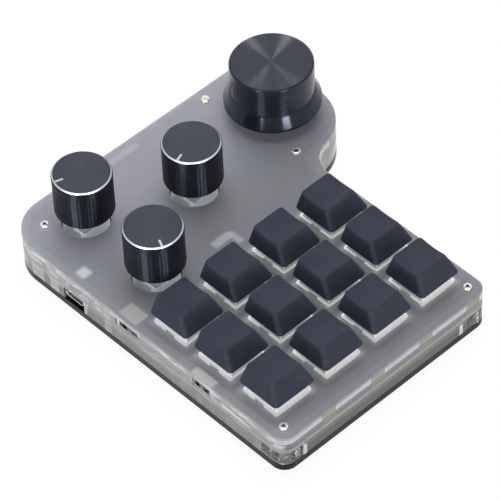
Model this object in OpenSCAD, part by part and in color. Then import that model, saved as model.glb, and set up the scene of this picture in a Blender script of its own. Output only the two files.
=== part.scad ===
// Macro keypad with low keys, three small knobs and one large knob on a layered acrylic case.
// Lengths are millimetres. X runs to the user's right, Y to the back and Z up.
// The origin lies on the table, under the middle of the case.

/* [Key field] */
// Distance between two key columns
key_pitch_x = 21.5; // [20:0.1:25]
// Distance between two key rows
key_pitch_y = 20.5; // [19.5:0.1:25]
// How far a key travels down
key_travel = 3.0; // [2:0.1:3.2]

/* [Case outline] */
// From the left key column to the left edge
left_margin = 13.9; // [13.5:0.1:18]
// From the right key column to the right edge of the key block
right_margin = 13.4; // [13:0.1:18]
// From the front key row to the front edge
front_margin = 17.1; // [16.8:0.1:24]
// From the back key row to the back edge
deck_depth = 74.2; // [73:0.1:86]
// How far the knob lobe stands out beyond the key block
lobe_reach = 25.0; // [23:0.1:30]
// From the back key row to the front edge of the lobe
lobe_start = 25.3; // [24:0.1:30]
// Radius of the back left corner
back_corner_r = 14.7; // [10:0.1:16]
// Radius of the two front corners
front_corner_r = 5.0; // [3.5:0.1:5.5]
// Radius of the lobe's back corner
lobe_corner_r = 14.1; // [10:0.1:15]
// Radius of the lobe's front corner
lobe_front_r = 20.0; // [14:0.1:22]
// Radius of the inner corner between lobe and key block
inner_corner_r = 10.7; // [6:0.1:12]

/* [Layers] */
// Height of the rubber feet
foot_h = 1.5; // [1.4:0.1:3]
// Thickness of the smoked bottom plate
bottom_t = 2.7; // [2:0.1:4]
// Thickness of the lower clear frame
lower_t = 5.4; // [4.8:0.1:8]
// Thickness of the circuit board
board_t = 1.6; // [1.2:0.1:2]
// Thickness of the upper clear frame
upper_t = 2.4; // [2:0.1:4]
// Thickness of the frosted top plate
top_t = 3.0; // [2.6:0.1:4]
// Width of the frames' walls
frame_wall = 3.0; // [2.4:0.1:3.4]

/* [Fasteners] */
// Radius of a screw's shank
screw_r = 1.0; // [0.8:0.05:1.2]
// Radius of a screw's head
screw_head_r = 1.5; // [1.45:0.05:2]
// Height of a screw's head
screw_head_h = 0.9; // [0.7:0.05:1.2]
// Radius of a threaded standoff
standoff_r = 1.75; // [1.6:0.05:2]
// From the two front screws to the edges
screw_inset = 4.9; // [4.8:0.1:5.5]

/* [Key caps] */
// Side of a cap at its skirt
cap_w = 17.4; // [16.8:0.1:18.4]
// Width of a cap's top
cap_top_w = 12.9; // [12:0.1:13.6]
// Depth of a cap's top
cap_top_d = 11.9; // [11.4:0.1:13]
// Height of a cap in the two back rows
cap_h = 6.0; // [5.8:0.1:7.5]
// How much taller the front row's caps are
front_cap_rise = 0.5; // [0:0.1:1.5]
// How far the top leans back over the skirt
cap_lean = 1.9; // [0.5:0.1:2.2]
// How far the front row's top leans back
front_cap_lean = 1.2; // [0.5:0.1:2.2]
// Height of the skirt over the deck
cap_lift = 4.8; // [4.6:0.1:6]
// Wall of a cap
cap_wall = 1.2; // [0.9:0.05:1.4]
// Depth of the dish in a cap's top
dish_depth = 0.7; // [0.2:0.05:0.9]

/* [Key switches] */
// Side of a switch body where it passes through the deck
switch_w = 13.9; // [13.6:0.05:14.2]
// Side of a switch's flange on the deck
switch_flange_w = 15.6; // [15.2:0.1:16.2]
// Height of a switch over the deck
switch_top = 4.2; // [3.9:0.1:4.4]
// Radius of the plunger
plunger_r = 3.2; // [3:0.05:3.4]

/* [Small knobs] */
// Radius of a small knob
small_knob_r = 10.1; // [9.8:0.1:10.6]
// Height of a small knob
small_knob_h = 16.9; // [15:0.1:20]
// Radius of the dark disc on a small knob
small_disc_r = 9.4; // [8:0.1:9.6]
// Number of grip flutes on a small knob
flutes = 36; // [24:1:40]
// Gap between a knob and the deck
knob_lift = 4.8; // [4.4:0.1:6]
// How far a knob can be pushed down
knob_push = 0.5; // [0.2:0.05:0.6]

/* [Large knob] */
// Radius of the large knob's flange
large_flange_r = 16.7; // [15.6:0.1:17.4]
// Radius of the large knob's grip
large_knob_r = 14.3; // [12.5:0.1:14.6]
// Height of the large knob
large_knob_h = 17.7; // [15:0.1:20]
// Gap between the large knob and the deck
large_lift = 4.1; // [3.8:0.1:6]
// Height of the upright lip round the flange
large_lip_h = 1.4; // [1:0.1:3]
// Height of the flange's cone over its lip
large_cone_h = 3.8; // [2:0.1:5]

/* [Encoders] */
// Width of an encoder's body
encoder_w = 11.7; // [11:0.1:11.9]
// Height of an encoder's body over the circuit board
encoder_h = 6.6; // [6:0.1:7]
// Radius of an encoder's shaft
shaft_r = 3.0; // [2.6:0.05:3.1]
// Length of an encoder's shaft over its body
shaft_l = 16.0; // [14:0.1:16.5]
// Radius of the holes round the knobs' encoders
knob_hole_r = 8.6; // [8.55:0.05:9]

/* [Sockets and slides] */
// Width of the power and data port
port_w = 8.94; // [8.5:0.01:9.2]
// Height of the power and data port
port_h = 3.26; // [3:0.01:3.4]
// Depth of the power and data port
port_d = 7.3; // [6.5:0.1:9]
// From the back edge to the port
port_place = 34.2; // [32:0.1:40]
// Length of the power switch
power_l = 10.1; // [9.2:0.1:10.8]
// Length of the mode switch
mode_l = 8.0; // [7.8:0.1:9]
// Height of a slide switch over the circuit board
slide_h = 3.4; // [3.2:0.1:3.7]
// From the back key row to the power switch
power_place = 14.2; // [13.8:0.1:17]
// From the front edge to the mode switch
mode_place = 37.3; // [34:0.1:46]
// How far the power slider travels
power_travel = 2.0; // [1:0.1:2.2]
// How far the mode slider travels each way
mode_travel = 1.5; // [1:0.1:1.6]

/* [Hidden] */
$fn = 64;
key_columns = 4;
key_rows = 3;
keys = key_columns * key_rows;
knobs = 4;

// Overrun of every cut, and the thin slab between whose copies a form is stretched
cut = 0.5;
slab = 0.05;
hull_sides = 24;

// Clearances
slip = 0.05;
seat_gap = 0.1;
run_gap = 0.04;
slide_gap = 0.2;

// Case edges
key_field_w = (key_columns - 1) * key_pitch_x;
key_field_d = (key_rows - 1) * key_pitch_y;
key_x0 = (left_margin - key_field_w - right_margin - lobe_reach) / 2;
key_y0 = (key_field_d + front_margin - deck_depth) / 2;
left_x = key_x0 - left_margin;
block_x = key_x0 + key_field_w + right_margin;
lobe_x = block_x + lobe_reach;
front_y = key_y0 - key_field_d - front_margin;
lobe_y = key_y0 + lobe_start;
back_y = key_y0 + deck_depth;

// How far the inner corner's arc cuts into the lobe's front arc, so that they cross cleanly
hollow_bite = 0.03;

// Levels
z_bottom = foot_h;
z_lower = z_bottom + bottom_t;
z_board = z_lower + lower_t;
z_upper = z_board + board_t;
z_top = z_upper + upper_t;
z_deck = z_top + top_t;
deck_to_board = z_deck - z_upper;

// Screws
back_screw_in = 9.8;
lobe_screw_side = 5.3;
inner_screw_in = 0.8;
inner_screw_up = 4.5;
lobe_screw_in = 6.6;
screw_land = 9.2;
screw_grip = 2.0;
recess_w = 0.36;
recess_share = 1.5;
recess_depth = 0.5;

// Screw places: back left, back, inner corner, back of the lobe, and the two front corners
screw_places = [
    [left_x + back_screw_in, back_y - back_screw_in],
    [block_x - lobe_screw_side, back_y - screw_inset],
    [block_x - inner_screw_in, lobe_y + inner_screw_up],
    [lobe_x - lobe_screw_in, back_y - lobe_screw_in],
    [block_x - screw_inset, front_y + screw_inset],
    [left_x + screw_inset, front_y + screw_inset]
];

// Feet
foot_r = 4.5;
foot_inset = 14.0;
foot_places = [
    [left_x + foot_inset, front_y + foot_inset],
    [block_x - foot_inset, front_y + foot_inset],
    [left_x + foot_inset, back_y - foot_inset],
    [lobe_x - foot_inset, back_y - foot_inset]
];

// Switch parts, measured from the deck
flange_t = 0.9;
flange_corner_r = 1.0;
flange_notch_l = 4.2;
flange_notch_d = 0.7;
switch_wall = 0.8;
switch_top_share = 0.74;
switch_floor = -2.6;
post_r = 2.5;
post_below = 0.4;
cavity_w = 11.4;
shoulder_r = 4.2;
shoulder_t = 0.9;
pin_r = 1.0;
pin_gap = 0.15;
pin_below = 3.0;
spring_r = 2.1;
spring_wall = 0.5;
cross_l = 4.0;
cross_w = 1.3;
cross_w2 = 1.1;
cross_h = 2.0;
boss_wall = 0.9;
plunger_over = 2.0;
switch_hole_w = switch_w + slip * 2;
shoulder_z = switch_top - switch_wall - seat_gap - shoulder_t;
plunger_z = switch_top + plunger_over;
boss_r = cross_l / 2 + boss_wall;
cap_corner_r = 1.3;
cap_roof = 1.35;
dish_land = 0.3;
socket_l = 9.6;
socket_w = 4.6;
socket_h = 1.8;
socket_back = 3.1;
diode_l = 2.6;
diode_w = 1.6;
diode_h = 1.1;
diode_side = 7.2;

// Encoder parts
knob_left = 21.4;
first_knob_back = 17.1;
third_knob_up = 23.0;
second_knob_in = 55.8;
second_knob_back = 32.3;
large_knob_back = 23.9;
frame_sheet = 0.45;
encoder_wall = 0.8;
rotor_floor = 2.0;
bush_r = 3.5;
bush_h = 6.0;
tab_w = 2.2;
tab_below = 0.8;
neck_r = 2.2;
neck_flat = 0.6;
flat_depth = 1.5;
flat_share = 0.57;
well_gap = 0.3;
knob_places = [
    [left_x + knob_left, back_y - first_knob_back],
    [left_x + second_knob_in, back_y - second_knob_back],
    [left_x + knob_left, key_y0 + third_knob_up],
    [lobe_x - large_flange_r, back_y - large_knob_back]
];
z_encoder = z_upper + encoder_h;
base_w = encoder_w - frame_sheet * 2;
base_h = encoder_h - frame_sheet;
rotor_r = base_w / 2 - encoder_wall;
tab_l = board_t + tab_below;

// Knob parts
knob_edge_r = 1.2;
rim_drop = 0.45;
rim_side = 0.3;
band_h = 2.4;
flute_r = 0.5;
flute_bite = 0.28;
knob_hollow_gap = 0.8;
knob_wall = 2.6;
knob_roof = 4.2;
disc_sink = 0.12;
large_edge = 0.5;
large_neck_step = 0.3;
knob_turns = [161.6, 198.0, 245.8];
pointer_l = 3.7;
pointer_w = 0.75;
pointer_depth = 0.2;

// Port, slides and parts on the circuit board
port_recess = 0.3;
port_notch_gap = 0.35;
port_wall = 0.3;
tongue_w = 6.7;
tongue_h = 0.7;
port_back = 1.2;
slide_recess = 0.3;
power_depth = 7.4;
mode_depth = 3.6;
slide_shell = 0.4;
lever_w = 1.9;
lever_h = 1.5;
carriage_l = 3.9;
carriage_d = 1.9;
slot_gap = 0.15;
power_y = key_y0 + power_place;
mode_y = front_y + mode_place;
slide_x = left_x + slide_recess;
lever_z = z_upper + slide_h / 2;
led_w = 3.9;
led_d = 4.3;
led_h = 1.9;
led_in = 7.0;
led_back = 32.0;
module_w = 9.0;
module_d = 8.0;
module_h = 1.9;
module_x = 28.7;
module_y = 12.9;
battery_w = 40.0;
battery_d = 28.0;
battery_t = 3.0;
battery_x = 20.0;
battery_y = 22.0;
plug_w = 4.2;
plug_d = 3.2;
plug_h = 4.2;
plug_back = 43.0;

function key_row(k) = floor((k - 1) / key_columns);
function key_column(k) = (k - 1) % key_columns;
function key_place(k) = [key_x0 + key_column(k) * key_pitch_x, key_y0 - key_row(k) * key_pitch_y];
function mix(a, b, share) = a + (b - a) * share;

module at_key(k, z = z_deck) {
    translate([key_place(k).x, key_place(k).y, z]) children();
}

module at_keys(z = z_deck) {
    for (k = [1:keys]) at_key(k, z) children();
}

module at_knob(k, z = 0) {
    translate([knob_places[k - 1].x, knob_places[k - 1].y, z]) children();
}

module at_knobs(z = 0) {
    for (k = [1:knobs]) at_knob(k, z) children();
}

module at_screws(z) {
    for (place = screw_places) translate([place.x, place.y, z]) children();
}

// Outlines

module corner_cut(at, turn, radius) {
    translate(at) rotate(turn) difference() {
        translate([-cut, -cut]) square(radius + cut);
        translate([radius, radius]) circle(radius, $fn = 96);
    }
}

module rounded_block(low, high, radii) {
    difference() {
        translate(low) square(high - low);
        corner_cut(low, 0, radii[0]);
        corner_cut([high.x, low.y], 90, radii[1]);
        corner_cut(high, 180, radii[2]);
        corner_cut([low.x, high.y], 270, radii[3]);
    }
}

module rounded_rect(w, d, radius) {
    rounded_block([-w, -d] / 2, [w, d] / 2, [radius, radius, radius, radius]);
}

module case_outline(inset = 0) {
    front_r = front_corner_r - inset;
    lobe_r = lobe_corner_r - inset;
    swell_r = lobe_front_r - inset;
    inner_r = inner_corner_r + inset;
    overlap = min(lobe_x - lobe_front_r - block_x - inner_corner_r, 0);
    hollow_x = block_x + inner_corner_r;
    swell = [hollow_x + overlap, lobe_y + lobe_front_r];
    hollow = [hollow_x, swell.y - sqrt(pow(swell_r + inner_r - hollow_bite, 2) - pow(overlap, 2))];
    rounded_block([left_x + inset, front_y + inset], [block_x - inset, back_y - inset],
        [front_r, front_r, lobe_r, back_corner_r - inset]);
    rounded_block([(left_x + block_x) / 2, lobe_y + inset], [lobe_x - inset, back_y - inset],
        [lobe_r, swell_r, lobe_r, lobe_r]);
    difference() {
        polygon([[hollow.x - inner_r * 2, hollow.y], hollow, swell, [hollow.x - inner_r * 2, swell.y]]);
        translate(hollow) circle(inner_r, $fn = 96);
    }
}

module frame_outline() {
    intersection() {
        case_outline();
        union() {
            difference() {
                case_outline();
                case_outline(frame_wall);
            }
            for (place = screw_places) translate(place) square(screw_land, center = true);
        }
    }
}

module screw_holes(z, h, radius) {
    at_screws(z - cut) cylinder(h = h + cut * 2, r = radius);
}

// Case layers

module bottom_plate() {
    color("#4a4b52") difference() {
        translate([0, 0, z_bottom]) linear_extrude(bottom_t) case_outline();
        screw_holes(z_bottom, bottom_t, screw_r + seat_gap);
    }
}

module lower_frame() {
    color("#b9bac4") difference() {
        translate([0, 0, z_lower]) linear_extrude(lower_t) frame_outline();
        screw_holes(z_lower, lower_t, standoff_r + seat_gap);
        translate([left_x - cut, back_y - port_place - port_w / 2 - port_notch_gap, z_lower - cut])
            cube([frame_wall + cut * 2, port_w + port_notch_gap * 2, lower_t + cut * 2]);
    }
}

module slide_notches(z, h, clear) {
    for (which = [0, 1]) {
        depth = (which == 0 ? power_depth : mode_depth) + slide_recess + clear + cut;
        y = which == 0 ? power_y : mode_y;
        length = (which == 0 ? power_l : mode_l) + clear * 2;
        translate([left_x - cut, y - length / 2, z]) cube([depth, length, h]);
    }
}

module upper_frame() {
    color("#c4c5cd") difference() {
        translate([0, 0, z_upper]) linear_extrude(upper_t) frame_outline();
        screw_holes(z_upper, upper_t, screw_r + seat_gap);
        slide_notches(z_upper - cut, upper_t + cut * 2, slot_gap);
    }
}

module top_plate() {
    color("#8e9097") difference() {
        translate([0, 0, z_top]) linear_extrude(top_t) case_outline();
        screw_holes(z_top, top_t, screw_r + seat_gap);
        slide_notches(z_top - cut, slide_h - upper_t + slide_gap + cut, slot_gap);
        at_keys(z_top + top_t / 2) cube([switch_hole_w, switch_hole_w, top_t + cut * 2], center = true);
        at_knobs(z_top - cut) cylinder(h = top_t + cut * 2, r = knob_hole_r);
    }
}

module circuit_board() {
    color("#8d9468") difference() {
        translate([0, 0, z_board]) linear_extrude(board_t) case_outline();
        screw_holes(z_board, board_t, screw_r + seat_gap);
        at_keys(z_board - cut) cylinder(h = board_t + cut * 2, r = post_r + seat_gap);
        at_knobs(z_board + board_t / 2) encoder_tabs(board_t + cut * 2, seat_gap);
    }
}

module rubber_feet() {
    color("#2b2c30") for (place = foot_places) translate(place) rotate_extrude() difference() {
        square([foot_r, foot_h]);
        corner_cut([foot_r, 0], 90, foot_h / 3);
    }
}

// Fasteners

module standoffs() {
    color("#b98a72") at_screws(z_lower) difference() {
        cylinder(h = lower_t, r = standoff_r);
        translate([0, 0, -cut]) cylinder(h = lower_t + cut * 2, r = screw_r + slip);
    }
}

module screw(shank) {
    recess = [screw_head_r * recess_share, recess_w, recess_depth + cut];
    difference() {
        rotate_extrude() difference() {
            square([screw_head_r, screw_head_h]);
            corner_cut([screw_head_r, screw_head_h], 180, screw_head_h / 2);
        }
        for (turn = [0, 90])
            rotate(turn) translate([0, 0, screw_head_h + (cut - recess_depth) / 2]) cube(recess, center = true);
    }
    translate([0, 0, -shank]) cylinder(h = shank, r = screw_r);
}

module top_screws() {
    color("#d8d3d2") at_screws(z_deck) screw(z_deck - z_board + screw_grip);
}

module bottom_screws() {
    color("#d8d3d2") at_screws(z_bottom) rotate([180, 0, 0]) screw(bottom_t + screw_grip);
}

// Key switches

module flange_outline() {
    difference() {
        rounded_rect(switch_flange_w, switch_flange_w, flange_corner_r);
        for (side = [-1, 1]) translate([side * (switch_flange_w + cut) / 2, 0])
            square([cut + flange_notch_d * 2, flange_notch_l], center = true);
    }
}

module switch_bases() {
    color("#e4e6e4") at_keys() difference() {
        union() {
            linear_extrude(flange_t) flange_outline();
            translate([-switch_w, -switch_w, -deck_to_board * 2] / 2) cube([switch_w, switch_w, deck_to_board]);
            translate([0, 0, -deck_to_board - board_t - post_below])
                cylinder(h = board_t + post_below + cut, r = post_r);
        }
        translate([-cavity_w / 2, -cavity_w / 2, switch_floor]) cube([cavity_w, cavity_w, flange_t * 2 - switch_floor]);
        translate([0, 0, -pin_below - key_travel - seat_gap])
            cylinder(h = pin_below + key_travel, r = pin_r + pin_gap);
    }
}

module frustum(w, top_share, h) {
    linear_extrude(h, scale = top_share) square(w, center = true);
}

module switch_covers() {
    cover_h = switch_top - flange_t;
    inner_w = switch_w - switch_wall * 2;
    inner_h = cover_h - switch_wall;
    color("#f0f1f0") at_keys(z_deck + flange_t) difference() {
        frustum(switch_w, switch_top_share, cover_h);
        translate([0, 0, -slab]) frustum(inner_w, switch_top_share, inner_h + slab);
        cylinder(h = cover_h + cut, r = plunger_r + seat_gap);
    }
}

module switch_springs() {
    color("#b8bac0") at_keys(z_deck + switch_floor) difference() {
        cylinder(h = shoulder_z - switch_floor, r = spring_r);
        translate([0, 0, -cut]) cylinder(h = shoulder_z - switch_floor + cut * 2, r = spring_r - spring_wall);
    }
}

module switch_sockets() {
    color("#2a2b30") at_keys(z_board - socket_h) translate([0, socket_back + socket_w / 2, 0]) {
        translate([-socket_l / 2, -socket_w / 2, 0]) cube([socket_l, socket_w / 2, socket_h]);
        translate([-socket_l / 4, 0, 0]) cube([socket_l * 3 / 4, socket_w / 2, socket_h]);
    }
}

module key_diodes() {
    color("#3a3b40") at_keys(z_board - diode_h)
        translate([diode_side - diode_w / 2, -diode_l / 2, 0]) cube([diode_w, diode_l, diode_h]);
}

module cross(length, wide, narrow, h) {
    translate([-length / 2, -narrow / 2, 0]) cube([length, narrow, h]);
    translate([-wide / 2, -length / 2, 0]) cube([wide, length, h]);
}

module key_stem(k) {
    color("#d9dcda") at_key(k) {
        translate([0, 0, shoulder_z]) cylinder(h = plunger_z - shoulder_z, r = plunger_r);
        translate([0, 0, shoulder_z]) cylinder(h = shoulder_t, r = shoulder_r);
        translate([0, 0, -pin_below]) cylinder(h = shoulder_z + pin_below, r = pin_r);
        translate([0, 0, plunger_z]) cross(cross_l, cross_w, cross_w2, cross_h);
    }
}

// Key caps: a form stretched from skirt to top, hollowed to its own walls, with a dished top

module cap_form(top_w, top_d, radius, lean, h, w, under = 0) {
    hull() {
        translate([0, 0, -under]) linear_extrude(slab + under) round_square(w, w, radius);
        translate([0, lean, h - slab]) linear_extrude(slab) round_square(top_w, top_d, radius);
    }
}

module round_square(w, d, radius) {
    hull() for (x = [-1, 1], y = [-1, 1])
        translate([x * (w / 2 - radius), y * (d / 2 - radius)]) circle(radius, $fn = hull_sides);
}

module keycap(k) {
    front = key_row(k) == key_rows - 1;
    h = cap_h + (front ? front_cap_rise : 0);
    lean = front ? front_cap_lean : cap_lean;
    roof_h = h - cap_roof - dish_depth;
    share = roof_h / h;
    inner_w = cap_w - cap_wall * 2;
    dish_w = cap_top_d - dish_land * 2;
    dish_r = (dish_w * dish_w / 4 + dish_depth * dish_depth) / (dish_depth * 2);
    boss_z = plunger_z - cap_lift;
    color("#3c3f49") at_key(k, z_deck + cap_lift) {
        difference() {
            cap_form(cap_top_w, cap_top_d, cap_corner_r, lean, h, cap_w);
            translate([-cap_w, lean, h + dish_r - dish_depth]) rotate([0, 90, 0])
                cylinder(h = cap_w * 2, r = dish_r, $fn = 160);
            cap_form(mix(cap_w, cap_top_w, share) - cap_wall * 2,
                mix(cap_w, cap_top_d, share) - cap_wall * 2, cap_corner_r / 2, lean * share, roof_h, inner_w, cut);
        }
        difference() {
            translate([0, 0, boss_z]) cylinder(h = roof_h - boss_z + slab, r = boss_r);
            translate([0, 0, boss_z - slab])
                cross(cross_l + slip * 2, cross_w + slip * 2, cross_w2 + slip * 2, cross_h + slab + seat_gap);
        }
    }
}

// Encoders: a base with a cavity, a sheet frame with its bush, a rotor and a shaft

module encoder_tabs(h, gap) {
    for (side = [-1, 1])
        translate([side * (encoder_w - frame_sheet) / 2, 0, 0])
            cube([frame_sheet + gap * 2, tab_w + gap * 2, h], center = true);
}

module encoder_bases() {
    color("#b4b8ae") at_knobs(z_upper) difference() {
        translate([-base_w / 2, -encoder_w / 2, 0]) cube([base_w, encoder_w, base_h]);
        translate([0, 0, rotor_floor]) cylinder(h = base_h, r = rotor_r);
        translate([0, 0, rotor_floor / 4]) cylinder(h = base_h, r = neck_r + well_gap);
    }
}

module encoder_frames() {
    color("#c9ccc4") at_knobs() {
        difference() {
            union() {
                translate([-encoder_w / 2, -encoder_w / 2, z_encoder - frame_sheet])
                    cube([encoder_w, encoder_w, frame_sheet]);
                translate([0, 0, z_encoder - frame_sheet]) cylinder(h = bush_h + frame_sheet, r = bush_r);
            }
            translate([0, 0, z_encoder - cut * 2]) cylinder(h = bush_h + cut * 3, r = shaft_r + run_gap);
        }
        for (side = [-1, 1])
            translate([side * (encoder_w - frame_sheet) / 2 - frame_sheet / 2, -encoder_w / 3, z_upper])
                cube([frame_sheet, encoder_w * 2 / 3, base_h]);
        translate([0, 0, z_upper - tab_l / 2]) encoder_tabs(tab_l, 0);
    }
}

module flatted(radius, flat, h) {
    difference() {
        cylinder(h = h, r = radius);
        translate([radius - flat, -radius * 2, -cut]) cube([radius * 2, radius * 4, h + cut * 2]);
    }
}

module encoder_rotor(k) {
    rotor_h = base_h - rotor_floor - seat_gap * 2;
    color("#e6e3d6") at_knob(k, z_upper + rotor_floor + seat_gap) difference() {
        cylinder(h = rotor_h, r = rotor_r - seat_gap);
        translate([0, 0, -cut]) flatted(neck_r + run_gap, neck_flat, rotor_h + cut * 2);
    }
}

module encoder_shaft(k) {
    neck_z = z_encoder - frame_sheet + knob_push + seat_gap;
    neck_bottom = z_upper + rotor_floor / 4 + knob_push + seat_gap;
    flat_l = shaft_l * flat_share;
    color("#c4c6ca") at_knob(k) {
        translate([0, 0, neck_z]) cylinder(h = z_encoder + shaft_l - flat_l - neck_z, r = shaft_r);
        translate([0, 0, z_encoder + shaft_l - flat_l]) flatted(shaft_r, flat_depth, flat_l);
        translate([0, 0, neck_bottom]) flatted(neck_r, neck_flat + run_gap, neck_z - neck_bottom);
    }
}

// Knobs

module shaft_bore(z) {
    bore_l = z_encoder + shaft_l + seat_gap - z;
    translate([0, 0, z]) flatted(shaft_r + run_gap, flat_depth, bore_l);
}

module knob_hollow(z, radius) {
    hollow_top = z_encoder + bush_h + knob_push + seat_gap;
    flat_z = z_encoder + shaft_l * (1 - flat_share);
    translate([0, 0, z - cut]) cylinder(h = hollow_top - z + cut, r = radius);
    translate([0, 0, z]) cylinder(h = flat_z - z, r = shaft_r + run_gap);
}

module small_knob(k) {
    z = z_deck + knob_lift;
    rim_z = small_knob_h - rim_drop;
    side_z = rim_z - rim_side;
    rim_r = small_knob_r - rim_side;
    flute_l = small_knob_h - band_h - rim_drop;
    color("#26272e") at_knob(k, z) difference() {
        rotate_extrude($fn = 96) difference() {
            polygon([[0, 0], [small_knob_r, 0], [small_knob_r, side_z], [rim_r, rim_z],
                [small_disc_r, small_knob_h], [0, small_knob_h]]);
            corner_cut([small_knob_r, 0], 90, knob_edge_r);
        }
        for (turn = [0:flutes - 1]) rotate(turn * 360 / flutes)
            translate([small_knob_r + flute_r - flute_bite, 0, -cut]) cylinder(h = flute_l + cut, r = flute_r, $fn = 24);
        translate([0, 0, small_knob_h - disc_sink]) cylinder(h = cut, r = small_disc_r - disc_sink);
        rotate(knob_turns[k - 1])
            translate([small_disc_r - pointer_l, -pointer_w / 2, small_knob_h - disc_sink - pointer_depth])
                cube([pointer_l, pointer_w, cut]);
        translate([0, 0, -z]) knob_hollow(z, small_knob_r - knob_wall);
        translate([0, 0, -z]) shaft_bore(z_encoder + shaft_l * (1 - flat_share));
    }
}

module large_knob() {
    z = z_deck + large_lift;
    cone_z = large_lip_h + large_cone_h;
    color("#1f2028") at_knob(knobs, z) difference() {
        rotate_extrude($fn = 128) difference() {
            union() {
                square([large_knob_r, large_knob_h]);
                polygon([[0, 0], [large_flange_r, 0], [large_flange_r, large_lip_h],
                    [large_knob_r + large_neck_step, cone_z], [0, cone_z + large_neck_step]]);
            }
            corner_cut([large_knob_r, large_knob_h], 180, large_edge);
            corner_cut([large_flange_r, 0], 90, large_edge);
        }
        translate([0, 0, -z]) knob_hollow(z, large_knob_r - knob_wall);
        translate([0, 0, -z]) shaft_bore(z_encoder + shaft_l * (1 - flat_share));
    }
}

// Port, slide switches and parts on the circuit board

module stadium(w, h) {
    square([w - h, h], center = true);
    for (side = [-1, 1]) translate([side * (w - h) / 2, 0]) circle(h / 2);
}

module usb_port() {
    translate([left_x + port_recess, back_y - port_place, z_board - port_h / 2]) rotate([90, 0, 90]) {
        color("#d4d6da") difference() {
            linear_extrude(port_d) stadium(port_w, port_h);
            translate([0, 0, -cut]) linear_extrude(port_d - port_back + cut)
                stadium(port_w - port_wall * 2, port_h - port_wall * 2);
        }
        color("#1c1c20") translate([-tongue_w / 2, -tongue_h / 2, port_wall * 2])
            cube([tongue_w, tongue_h, port_d - port_back - port_wall]);
    }
}

module slide_shell(y, length, depth, travel) {
    run = carriage_l + travel + seat_gap * 2;
    lever_run = lever_w + travel + seat_gap * 2;
    inside = [carriage_d + seat_gap * 2, run, lever_h + seat_gap * 2];
    difference() {
        translate([slide_x, y - length / 2, z_upper]) cube([depth, length, slide_h]);
        translate([slide_x + slide_shell, y - run / 2, lever_z - inside.z / 2]) cube(inside);
        translate([slide_x - cut, y - lever_run / 2, lever_z - inside.z / 2])
            cube([cut * 2 + slide_shell, lever_run, inside.z]);
    }
}

module slide_switch_shells() {
    color("#c9c9c8") slide_shell(power_y, power_l, power_depth, power_travel);
    color("#c9c9c8") slide_shell(mode_y, mode_l, mode_depth, mode_travel * 2);
}

module slider(y) {
    lever_l = slide_recess + slide_shell - seat_gap + cut;
    color("#26272b") {
        translate([slide_x + slide_shell + seat_gap, y - carriage_l / 2, lever_z - lever_h / 2])
            cube([carriage_d, carriage_l, lever_h]);
        translate([left_x + seat_gap * 2, y - lever_w / 2, lever_z - lever_h / 2])
            cube([lever_l, lever_w, lever_h]);
    }
}

module power_slider() {
    slider(power_y - power_travel / 2);
}

module mode_slider() {
    slider(mode_y);
}

module status_led() {
    color("#f2f2ee") translate([left_x + led_in - led_w / 2, back_y - led_back - led_d / 2, z_upper])
        cube([led_w, led_d, led_h]);
}

module wireless_module() {
    color("#d8d9d6") translate([key_x0 + module_x, key_y0 + module_y, z_upper])
        cube([module_w, module_d, module_h]);
}

module battery() {
    color("#9fa3ab") translate([key_x0 + battery_x, key_y0 + battery_y, z_lower])
        cube([battery_w, battery_d, battery_t]);
}

module battery_socket() {
    color("#26272b") translate([left_x + frame_wall + slide_gap, back_y - plug_back - plug_d / 2, z_board - plug_h])
        cube([plug_w, plug_d, plug_h]);
}

bottom_plate();
lower_frame();
circuit_board();
upper_frame();
top_plate();
rubber_feet();
standoffs();
top_screws();
bottom_screws();
switch_bases();
switch_covers();
switch_springs();
switch_sockets();
key_diodes();
for (k = [1:keys]) keycap(k);
for (k = [1:keys]) key_stem(k);
encoder_bases();
encoder_frames();
for (k = [1:knobs]) encoder_rotor(k);
for (k = [1:knobs]) encoder_shaft(k);
for (k = [1:knobs - 1]) small_knob(k);
large_knob();
usb_port();
slide_switch_shells();
power_slider();
mode_slider();
status_led();
wireless_module();
battery();
battery_socket();
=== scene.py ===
"""Macro keypad with knobs on a layered acrylic case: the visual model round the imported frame."""
import math

import bpy
from mathutils import Matrix, Vector


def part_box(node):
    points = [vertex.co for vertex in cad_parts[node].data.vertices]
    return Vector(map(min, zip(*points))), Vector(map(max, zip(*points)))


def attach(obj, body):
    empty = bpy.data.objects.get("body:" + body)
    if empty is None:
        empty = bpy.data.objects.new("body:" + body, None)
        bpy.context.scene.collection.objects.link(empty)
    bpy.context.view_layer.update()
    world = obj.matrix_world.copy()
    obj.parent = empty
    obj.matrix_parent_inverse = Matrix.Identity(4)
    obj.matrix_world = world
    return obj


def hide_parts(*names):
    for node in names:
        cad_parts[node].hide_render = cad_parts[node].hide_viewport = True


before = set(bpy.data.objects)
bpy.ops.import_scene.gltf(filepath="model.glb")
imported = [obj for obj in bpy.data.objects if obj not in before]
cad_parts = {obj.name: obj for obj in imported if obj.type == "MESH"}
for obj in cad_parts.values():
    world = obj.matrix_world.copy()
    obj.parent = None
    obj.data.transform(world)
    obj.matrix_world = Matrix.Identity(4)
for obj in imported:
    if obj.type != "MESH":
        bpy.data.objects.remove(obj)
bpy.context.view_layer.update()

MM = 0.001
scene = bpy.context.scene
scene.view_settings.view_transform = "Standard"


# Meshes

def piece(name, points, faces, finish, body, slot, smooth_below=35.0):
    """A mesh of points in millimetres, in the model's frame, that rides on a body."""
    mesh = bpy.data.meshes.new(name)
    mesh.from_pydata([Vector(p) * MM for p in points], [], faces)
    mesh.validate()
    mesh.update()
    for face in mesh.polygons:
        face.use_smooth = True
    mesh.set_sharp_from_angle(angle=math.radians(smooth_below))
    obj = bpy.data.objects.new(name, mesh)
    scene.collection.objects.link(obj)
    mesh.materials.append(finish)
    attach(obj, body)
    return obj


def box_mm(node):
    """A CAD node's low and high corners in millimetres."""
    low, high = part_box(node)
    return low / MM, high / MM


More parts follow.
